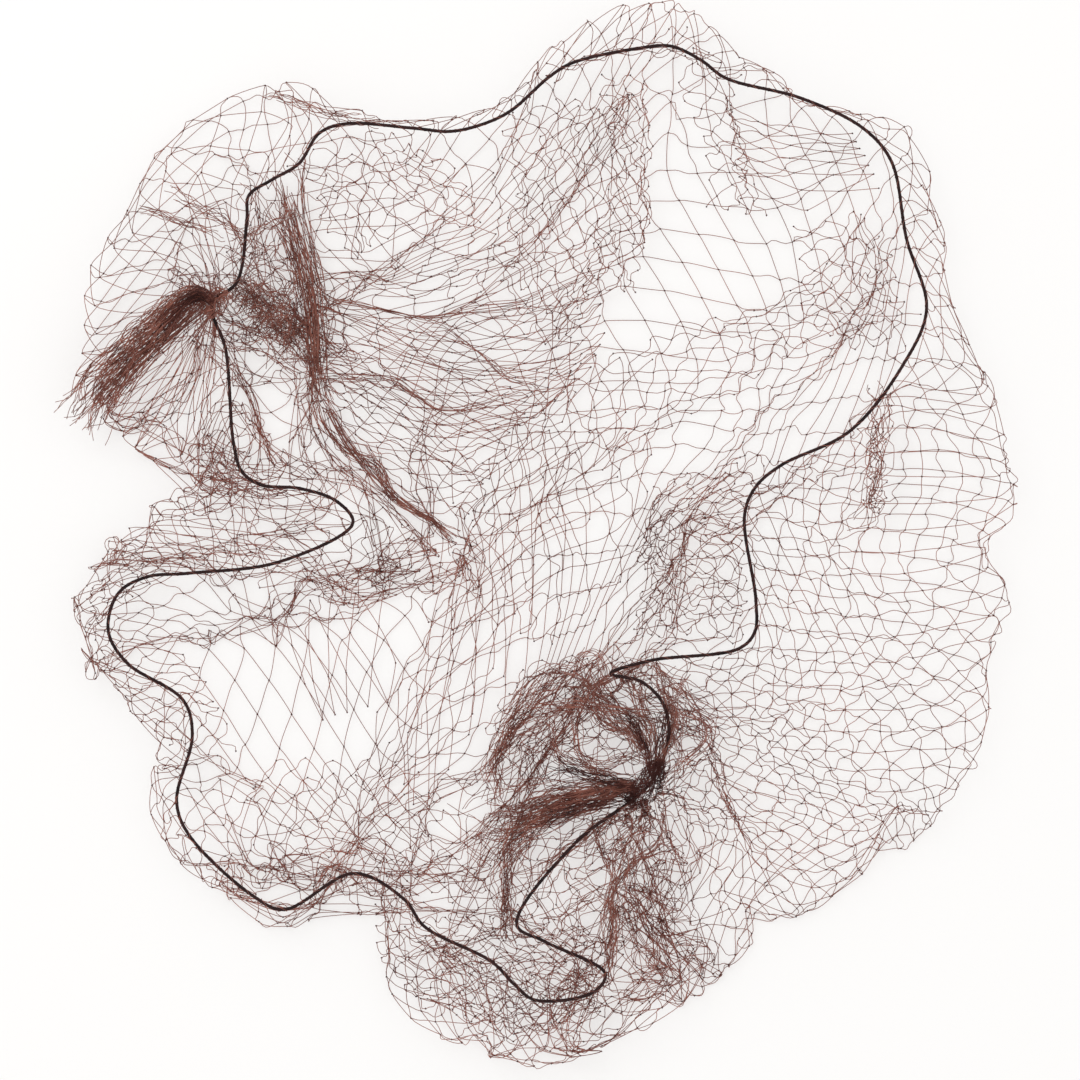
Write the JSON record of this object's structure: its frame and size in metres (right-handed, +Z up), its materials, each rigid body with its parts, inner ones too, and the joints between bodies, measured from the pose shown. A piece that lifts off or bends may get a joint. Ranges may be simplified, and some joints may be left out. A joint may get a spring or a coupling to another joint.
{
  "type": "hair net",
  "caption": "Fine knotted hair net lying open and crumpled: a shallow bag of diamond mesh, gathered at both ends and edged with a thin elastic loop.",
  "frame": {"origin": "centre of the box round the net, on the surface that it lies on", "axes": "+Z up out of the mouth, +Y along the longer side of the laid out net, as it is seen from above with the tied ends at the left and the lower right"},
  "size_m": [0.1545, 0.1673, 0.0106],
  "materials": {
    "net_thread": "matte",
    "bundled_thread": "satin",
    "elastic_cord": "matte"
  },
  "bodies": {
    "root": {"net_floor": "net_thread", "net_rim_left_lobe": "net_thread", "net_rim_top_left": "net_thread", "net_rim_top_lobe": "net_thread", "net_rim_top_right": "net_thread", "net_rim_right": "net_thread", "net_rim_cusp": "net_thread", "net_rim_lower_right": "net_thread", "net_rim_bottom_right": "net_thread", "net_rim_bottom": "net_thread", "net_rim_bottom_left": "net_thread", "net_rim_left": "net_thread", "net_rim_notch": "net_thread", "elastic_edge": "elastic_cord", "gather_left": "bundled_thread", "gather_right": "bundled_thread", "tuft_left": "bundled_thread", "tuft_right": "bundled_thread", "fold_left_rope": "bundled_thread", "fold_left_crumple": "bundled_thread", "fold_centre_rope": "bundled_thread", "fold_right_fan": "bundled_thread", "fold_right_curl": "bundled_thread", "fold_lower_rope": "bundled_thread", "fold_outer_rope": "bundled_thread"}
  },
  "joints": []
}
